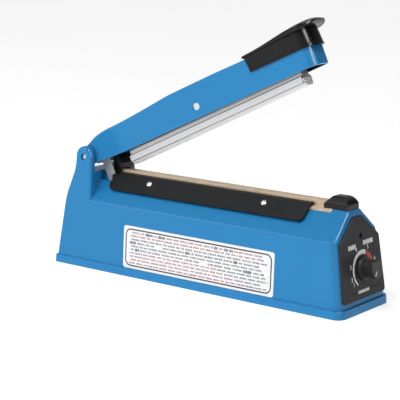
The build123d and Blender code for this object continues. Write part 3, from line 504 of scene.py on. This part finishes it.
def skirt_outline(level, x_front, half, radius):
    """Row of the skirt at one level: straight sides, a rounded front, an upper edge that rises forwards."""
    share = (level - SKIRT_LOW) / (SKIRT_HIGH - SKIRT_LOW)
    points = [(x, half) for x in (SKIRT_REAR - 2.1 * share, 206, 222, 234, x_front - radius - 3)]
    for k in range(13):
        turn = math.radians(90 - 7.5 * k)
        points.append((x_front - radius + radius * math.cos(turn), half - radius + radius * math.sin(turn)))
    row = []
    for x, y in points + [(x, -y) for x, y in reversed(points[:-1])]:
        forward = (x - SKIRT_REAR) / (SKIRT_FRONT - SKIRT_REAR)
        row.append((x, y, level + forward * (1.6 * share - 0.7 * (1 - share))))
    return row


def skirt_mesh():
    """Thin wall down over the arm, leaning out slightly to a rolled lower edge."""
    outward = {7.8: 0.0, 7.9: 0.35, 8.4: 0.5, 9.2: 0.25, 10.5: 0.12, 14: 0.0, 18: -0.1, 21.2: -0.15}
    rows = []
    for z, out in outward.items():
        front = SKIRT_FRONT + out - (z - SKIRT_LOW) * 0.06
        rows.append(skirt_outline(z, front, SKIRT_HALF + out * 0.5, 10))
    rows += [skirt_outline(z, 252.5, 12.0, 9.2) for z in (SKIRT_HIGH, SKIRT_LOW)]
    bm = bmesh.new()
    loops = [[bm.verts.new(p) for p in row] for row in rows]
    for first, second in zip(loops, loops[1:] + loops[:1]):
        for i in range(len(first) - 1):
            bm.faces.new((first[i], first[i + 1], second[i + 1], second[i]))
    bm.faces.new([loop[0] for loop in loops])
    bm.faces.new([loop[-1] for loop in reversed(loops)])
    bmesh.ops.recalc_face_normals(bm, faces=bm.faces)
    return bm


def add_handle(mats):
    grip = rest_mesh()
    grip.transform(ARM)
    rest = new_piece("handle_rest", grip, mats["gloss_black"], "arm", 50)
    subdivide = rest.modifiers.new("subdivide", "SUBSURF")
    subdivide.render_levels = 2
    subdivide.levels = 2
    wall = skirt_mesh()
    wall.transform(ARM)
    skirt = new_piece("handle_skirt", wall, mats["gloss_black"], "arm", 40)
    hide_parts("handle")
    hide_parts("handle")


# ---------------------------------------------------------------- cloth and spring
def cloth_half(x):
    """Half section of the cloth at x, from its middle outwards, with the small waves of real cloth."""
    wave = 0.10 * math.sin(x / 7.3) + 0.07 * math.sin(x / 3.1 + 1.0)
    # direction down the roof, from the ridge's edge
    slope_y, slope_z = 0.7415, -0.6709
    edge_y, edge_z = 8.55, 80.74
    return [
        (0.0, CLOTH_TOP - 0.12), (2.0, CLOTH_TOP - 0.12), (3.6, CLOTH_TOP - 0.14), (4.05, CLOTH_TOP - 0.35),
        (4.3, BED_TOP - 0.1), (4.38 + 0.1 * wave, 83.2), (4.48 + 0.3 * wave, 81.9),
        (4.6 + 0.4 * wave, 80.98), (5.0, 80.78), (6.5, edge_z), (8.3, edge_z), (8.9, 80.50),
        (edge_y + 1.8 * slope_y, edge_z + 1.8 * slope_z),
        (edge_y + 3.4 * slope_y, edge_z + 3.4 * slope_z + 0.3 * abs(wave)),
    ]


def add_cloth(mats):
    bm = bmesh.new()
    steps = 150
    rows = []
    for k in range(steps + 1):
        x = CLOTH_REAR + (CLOTH_FRONT - CLOTH_REAR) * k / steps
        half = cloth_half(x)
        rows.append([(x, -y, z) for y, z in reversed(half[1:])] + [(x, y, z) for y, z in half])
    grid = [[bm.verts.new(p) for p in row] for row in rows]
    for first, second in zip(grid, grid[1:]):
        for i in range(len(first) - 1):
            bm.faces.new((first[i], first[i + 1], second[i + 1], second[i]))
    bmesh.ops.recalc_face_normals(bm, faces=bm.faces)
    if sum(f.normal.z for f in bm.faces) < 0:
        bmesh.ops.reverse_faces(bm, faces=bm.faces)
    cloth = new_piece("ptfe_cover", bm, mats["ptfe_cloth"], "casing", 80)
    thick = cloth.modifiers.new("thickness", "SOLIDIFY")
    thick.thickness = 0.00018
    thick.offset = 0.0
    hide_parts("ptfe_sheet")


def add_spring(mats):
    """Compression coil: turns set a little closer towards the ends, open turns between."""
    low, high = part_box("return_spring")
    centre = (low + high) / 2 / MM
    radius, wire, turns, sides, steps = 3.9, 0.6, 5.5, 10, 220
    bottom, top = low.z / MM + wire, high.z / MM - wire
    rows = []
    for k in range(steps + 1):
        t = k / steps
        angle = 2 * math.pi * turns * t
        ease = t - 0.055 * math.sin(2 * math.pi * t)
        out = Vector((math.cos(angle), math.sin(angle), 0))
        at = Vector((centre.x, centre.y, bottom + (top - bottom) * ease)) + radius * out
        rows.append([at + wire * (math.cos(a) * out + Vector((0, 0, math.sin(a))))
                     for a in [2 * math.pi * s / sides for s in range(sides)]])
    spring = new_piece("return_coil", loft(rows), mats["spring_steel"], "casing", 60)
    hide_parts("return_spring")
    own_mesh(spring)


# ---------------------------------------------------------------- printing
def add_bars(name, place, bars, material):
    """Printed marks: rectangles (u, v, half width, half height) laid on a plane."""
    thickness = 0.04
    bm = bmesh.new()
    for u, v, half_u, half_v in bars:
        corners = [(u + a * half_u, v + b * half_v) for a, b in ((-1, -1), (1, -1), (1, 1), (-1, 1))]
        low = [bm.verts.new(place @ Vector((x, y, 0))) for x, y in corners]
        top = [bm.verts.new(place @ Vector((x, y, thickness))) for x, y in corners]
        bm.faces.new(low[::-1])
        bm.faces.new(top)
        for i in range(4):
            j = (i + 1) % 4
            bm.faces.new((low[i], low[j], top[j], top[i]))
    return new_piece(name, bm, material, "casing", 30)


def rounded_ring(place, width, height, radius, line):
    """Thin rounded-rectangle border."""
    def outline(w, h, r):
        points = []
        for side_x, side_y, start in ((1, 1, 0), (-1, 1, 90), (-1, -1, 180), (1, -1, 270)):
            centre_x, centre_y = side_x * (w / 2 - r), side_y * (h / 2 - r)
            for k in range(9):
                turn = math.radians(start + 11.25 * k)
                points.append((centre_x + r * math.cos(turn), centre_y + r * math.sin(turn)))
        return points

    thickness = 0.04
    outer = outline(width, height, radius)
    inner = outline(width - 2 * line, height - 2 * line, radius - line)
    rows = [
        [place @ Vector((x, y, level)) for x, y in points]
        for points, level in ((outer, 0.0), (outer, thickness), (inner, thickness), (inner, 0.0))
    ]
    return loft(rows + rows[:1], cap=False)


def label_place():
    """Middle of the label's face as a matrix, with its width and height."""
    low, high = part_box("label_plate")
    low, high = low / MM, high / MM
    tilt = math.atan(SIDE_SLOPE)
    middle_z = (low.z + high.z) / 2
    y = -(BASE_HALF - SIDE_SLOPE * middle_z) - 0.2
    middle = Matrix.Translation(((low.x + high.x) / 2, y, middle_z))
    return middle @ Matrix.Rotation(math.pi / 2 - tilt, 4, "X"), high.x - low.x, high.z - low.z


def add_label(mats):
    """A border, and rows of short strokes that stand for small type."""
    place, width, height = label_place()
    ring = rounded_ring(place, width - 4.6, height - 4.2, 5.5, 1.1)
    new_piece("label_border", ring, mats["label_ink"], "casing", 30)
    rng = random.Random(20)
    ink, grey, red = [], [], []
    left, right = -width / 2 + 7.0, width / 2 - 6.0
    rows = 10
    for index in range(rows):
        v = height / 2 - 5.4 - index * (height - 10.4) / (rows - 1)
        u = left + rng.uniform(0, 3)
        end = right - rng.uniform(0, 9)
        while u < end:
            early = u < left + (right - left) * (0.35 + 0.05 * index)
            group = red if index in (0, 1) or (index > 5 and early) else grey
            word = u + rng.uniform(2.5, 9.0)
            heavy = index in (0, 3, 5) and rng.random() < 0.14
            while u < min(word, end):
                w = rng.uniform(0.35, 0.85) * (1.5 if heavy else 1.0)
                tall = (1.25 if heavy else 0.78) * rng.uniform(0.75, 1.0)
                (ink if heavy else group).append((u + w / 2, v + rng.uniform(-0.1, 0.1), w / 2, tall))
                u += w + rng.uniform(0.3, 0.5)
            u += rng.uniform(0.8, 1.6) + (8 if rng.random() < 0.03 else 0)
    for colour, bars in (("ink", ink), ("grey", grey), ("red", red)):
        add_bars(f"label_lines_{colour}", place, bars, mats[f"label_{colour}"])


def add_dial_print(mats):
    """The dial's numbers, and strokes where a panel has its words."""
    face = PANEL @ Matrix.Translation((0, 0, PANEL_T))
    radius = 18.2
    for number, angle in zip("123456", (214.5, 199, 167, 116, 61, 16)):
        curve = bpy.data.curves.new(f"dial_number_{number}", "FONT")
        curve.body = number
        curve.size = 5.0 * MM
        curve.align_x, curve.align_y = "CENTER", "CENTER"
        curve.extrude = 0.03 * MM
        numeral = bpy.data.objects.new(f"dial_number_{number}", curve)
        bpy.context.scene.collection.objects.link(numeral)
        turn = math.radians(angle)
        at = face @ Vector((DIAL_Y + radius * math.cos(turn), DIAL_UP + radius * math.sin(turn), 0.03))
        numeral.matrix_world = Matrix.Translation(at * MM) @ face.to_3x3().to_4x4()
        curve.materials.append(mats["dial_white"])
        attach(numeral, "casing")
    bars = []
    rng = random.Random(7)
    for u, count, v, tall in ((-17.5, 6, 53.6, 1.8), (4.2, 7, 54.6, 1.8), (-8.6, 9, 16.9, 1.2)):
        for _ in range(count):
            w = rng.choice((0.45, 0.75, 1.05))
            bars.append((u + w, v, w, tall))
            u += 2 * w + 0.55
    add_bars("panel_strokes", face, bars, mats["dial_white"])


# ---------------------------------------------------------------- floor and light
def add_stage():
    bm = bmesh.new()
    bmesh.ops.create_grid(bm, x_segments=1, y_segments=1, size=20000)
    mesh = bpy.data.meshes.new("floor")
    bm.to_mesh(mesh)
    bm.free()
    mesh.transform(Matrix.Scale(MM, 4))
    floor = bpy.data.objects.new("floor", mesh)
    bpy.context.scene.collection.objects.link(floor)
    s = Shader("floor", (0.5, 0.5, 0.5), 0.9, Emission_Color=(1, 1, 1, 1), Emission_Strength=0.70)
    s.color(s.ramp(s.noise(2.0, 2.0), [(0.3, (0.50, 0.50, 0.50)), (0.7, (0.54, 0.54, 0.54))]))
    mesh.materials.append(s.material)


def add_light(name, place, target, size, power):
    light = bpy.data.lights.new(name, "AREA")
    light.shape = "RECTANGLE"
    light.size, light.size_y = size
    light.energy = power
    lamp = bpy.data.objects.new(name, light)
    bpy.context.scene.collection.objects.link(lamp)
    lamp.location = place
    lamp.rotation_mode = "QUATERNION"
    lamp.rotation_quaternion = (Vector(target) - Vector(place)).to_track_quat("-Z", "Y")
    return lamp


def add_world():
    world = bpy.data.worlds.new("studio")
    bpy.context.scene.world = world
    world.use_nodes = True
    tree = world.node_tree
    background = next(n for n in tree.nodes if n.type == "BACKGROUND")
    place = tree.nodes.new("ShaderNodeTexCoord")
    split = tree.nodes.new("ShaderNodeSeparateXYZ")
    tree.links.new(place.outputs["Generated"], split.inputs[0])
    ramp = tree.nodes.new("ShaderNodeMapRange")
    ramp.inputs["From Min"].default_value, ramp.inputs["From Max"].default_value = 0.0, 0.6
    ramp.inputs["To Min"].default_value, ramp.inputs["To Max"].default_value = 0.50, 0.03
    tree.links.new(split.outputs["X"], ramp.inputs["Value"])
    tree.links.new(ramp.outputs["Result"], background.inputs["Strength"])
    background.inputs["Color"].default_value = (1, 1, 1, 1)


def add_lighting():
    add_world()
    add_light("key", (-1.2, -1.25, 1.0), (0, 0, 0.08), (0.8, 0.8), 8)
    add_light("top", (0.1, -0.8, 1.4), (0, 0, 0.08), (0.5, 0.5), 9)
    # softboxes seen only in reflections, for the bright lines on rounded corners
    for name, place, size, power in (
        ("softbox", (1.16, -0.69, 0.74), (0.5, 0.9), 26),
        ("overhead", (0.6, -0.3, 1.5), (0.6, 0.6), 26),
    ):
        add_light(name, place, (0.1, 0, 0.15), size, power).visible_diffuse = False
    view = bpy.context.scene.view_settings
    view.view_transform = "Standard"
    view.look = "None"


# ---------------------------------------------------------------- the scene
OWN_MATERIAL = {"arm_shell": "arm_enamel", "arm_bracket": "bracket_steel"}


def dress_nodes(mats):
    """Carried-over CAD nodes: smooth shading and a finished material each."""
    for row in frame["record"]["subparts"]:
        node = NODES[row["node"]]
        node.data.materials.clear()
        node.data.materials.append(mats[OWN_MATERIAL.get(row["node"], row["material_slot"])])
        smooth(node, 28)


def main():
    add_camera()
    mats = make_materials()
    dress_nodes(mats)
    add_handle(mats)
    add_cloth(mats)
    add_spring(mats)
    add_label(mats)
    add_dial_print(mats)
    add_stage()
    add_lighting()


main()
